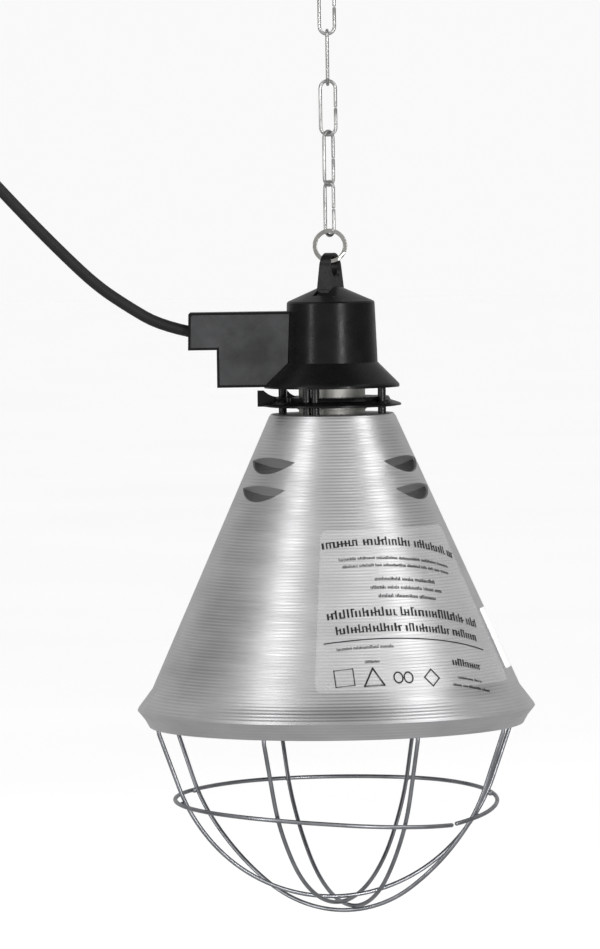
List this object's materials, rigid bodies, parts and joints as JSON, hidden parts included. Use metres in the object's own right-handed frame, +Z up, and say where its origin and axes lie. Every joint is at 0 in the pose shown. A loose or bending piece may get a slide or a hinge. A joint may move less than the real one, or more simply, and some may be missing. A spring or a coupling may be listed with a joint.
{
  "type": "heat lamp fixture",
  "caption": "Hanging heat lamp: black cap with side cord arm, spun conical reflector, wire guard, short chain, S-hook, and mains lead with plug.",
  "frame": {"origin": "inside top of the S-hook's upper crook, the point the fixture hangs from", "axes": "+Z up along the chain and the lamp's axis, -X towards the cord arm and the lead, -Y towards the front"},
  "size_m": [0.4225, 0.2094, 0.5603],
  "materials": {
    "bright_zinc": "bright zinc plated wire",
    "nickel_ring": "nickel plated spring steel",
    "black_housing": "moulded satin thermoset",
    "cover_plastic": "moulded satin thermoset, faintly mottled",
    "zinc_screws": "zinc plated steel",
    "pale_terminal": "moulded",
    "brass": "pressed and turned brass",
    "core_insulation": "smooth insulation",
    "heatproof_sleeving": "woven glass sleeving",
    "porcelain": "white glazed porcelain",
    "holder_metal": "plated steel sleeve",
    "black_posts": "black moulded spacers",
    "plated_plate": "zinc plated sheet",
    "spun_aluminium": "spun, with fine rings round it",
    "clear_film": "clear self-adhesive film",
    "white_paper": "coated paper",
    "guard_steel": "zinc plated welded wire",
    "black_rubber": "smooth rubber sheath",
    "tie_fabric": "woven hook-and-loop strap",
    "pin_metal": "nickel plated brass"
  },
  "bodies": {
    "root": {"s_hook": "bright_zinc", "cord_lead": "black_rubber", "cord_coil": "black_rubber", "cord_end": "black_rubber", "cord_tie": "tie_fabric", "plug_body": "black_rubber", "plug_pins": "pin_metal"},
    "lamp": {"housing_cap": "black_housing", "arm_cover": "cover_plastic", "arm_cover_screws": "zinc_screws", "terminal_block": "pale_terminal", "terminal_screws": "brass", "cord_tail": "black_rubber", "cord_clamp": "pale_terminal", "clamp_screws": "zinc_screws", "mains_cores": "core_insulation", "holder_wires": "heatproof_sleeving", "holder_body": "porcelain", "threaded_shell": "brass", "centre_contact": "brass", "holder_sleeve": "holder_metal", "holder_strap": "plated_plate", "strap_screws": "zinc_screws", "holder_rivet": "zinc_screws", "holder_terminals": "brass", "carrier_plate": "plated_plate", "spacer_post_1": "black_posts", "spacer_post_2": "black_posts", "spacer_post_3": "black_posts", "spacer_post_4": "black_posts", "stop_pin": "black_posts", "post_screws": "zinc_screws", "reflector_shade": "spun_aluminium", "film_label": "clear_film", "plain_label": "white_paper"},
    "link_1": {"chain_link_1": "bright_zinc"},
    "link_2": {"chain_link_2": "bright_zinc"},
    "link_3": {"chain_link_3": "bright_zinc"},
    "link_4": {"chain_link_4": "bright_zinc"},
    "link_5": {"chain_link_5": "bright_zinc"},
    "link_6": {"chain_link_6": "bright_zinc"},
    "ring": {"split_ring": "nickel_ring"},
    "lock_ring": {"locking_ring": "black_housing"},
    "guard": {"guard_wire_1": "guard_steel", "guard_wire_2": "guard_steel", "guard_wire_3": "guard_steel", "guard_wire_4": "guard_steel", "guard_hoop": "guard_steel"}
  },
  "joints": [
    {"name": "lamp_swing", "type": "hinge", "parent": "root", "child": "lamp", "pos_m": [0, 0, -0.04245], "axis": [1, 0, 0], "range_deg": [-15, 15], "deforming": ["cord_lead"]},
    {"name": "link_1_twist", "type": "hinge", "parent": "lamp", "child": "link_1", "pos_m": [0, 0, -0.0541], "axis": [0, 0, 1], "range_deg": [-20, 20]},
    {"name": "link_2_twist", "type": "hinge", "parent": "lamp", "child": "link_2", "pos_m": [0, 0, -0.0805], "axis": [0, 0, 1], "range_deg": [-20, 20]},
    {"name": "link_3_twist", "type": "hinge", "parent": "lamp", "child": "link_3", "pos_m": [0, 0, -0.1069], "axis": [0, 0, 1], "range_deg": [-20, 20]},
    {"name": "link_4_twist", "type": "hinge", "parent": "lamp", "child": "link_4", "pos_m": [0, 0, -0.1333], "axis": [0, 0, 1], "range_deg": [-25, 0]},
    {"name": "link_5_twist", "type": "hinge", "parent": "lamp", "child": "link_5", "pos_m": [0, 0, -0.1597], "axis": [0, 0, 1], "range_deg": [0, 20]},
    {"name": "link_6_twist", "type": "hinge", "parent": "lamp", "child": "link_6", "pos_m": [0, 0, -0.1861], "axis": [0, 0, 1], "range_deg": [-20, 0]},
    {"name": "ring_spin", "type": "hinge", "parent": "lamp", "child": "ring", "pos_m": [0, 0, -0.2057], "axis": [0, 1, 0], "continuous": true},
    {"name": "lock_turn", "type": "hinge", "parent": "lamp", "child": "lock_ring", "pos_m": [0, 0, -0.2874], "axis": [0, 0, 1], "range_deg": [0, 25]},
    {"name": "guard_slide", "type": "slide", "parent": "lamp", "child": "guard", "axis": [0, 0, -1], "range_m": [0, 0.12]}
  ]
}
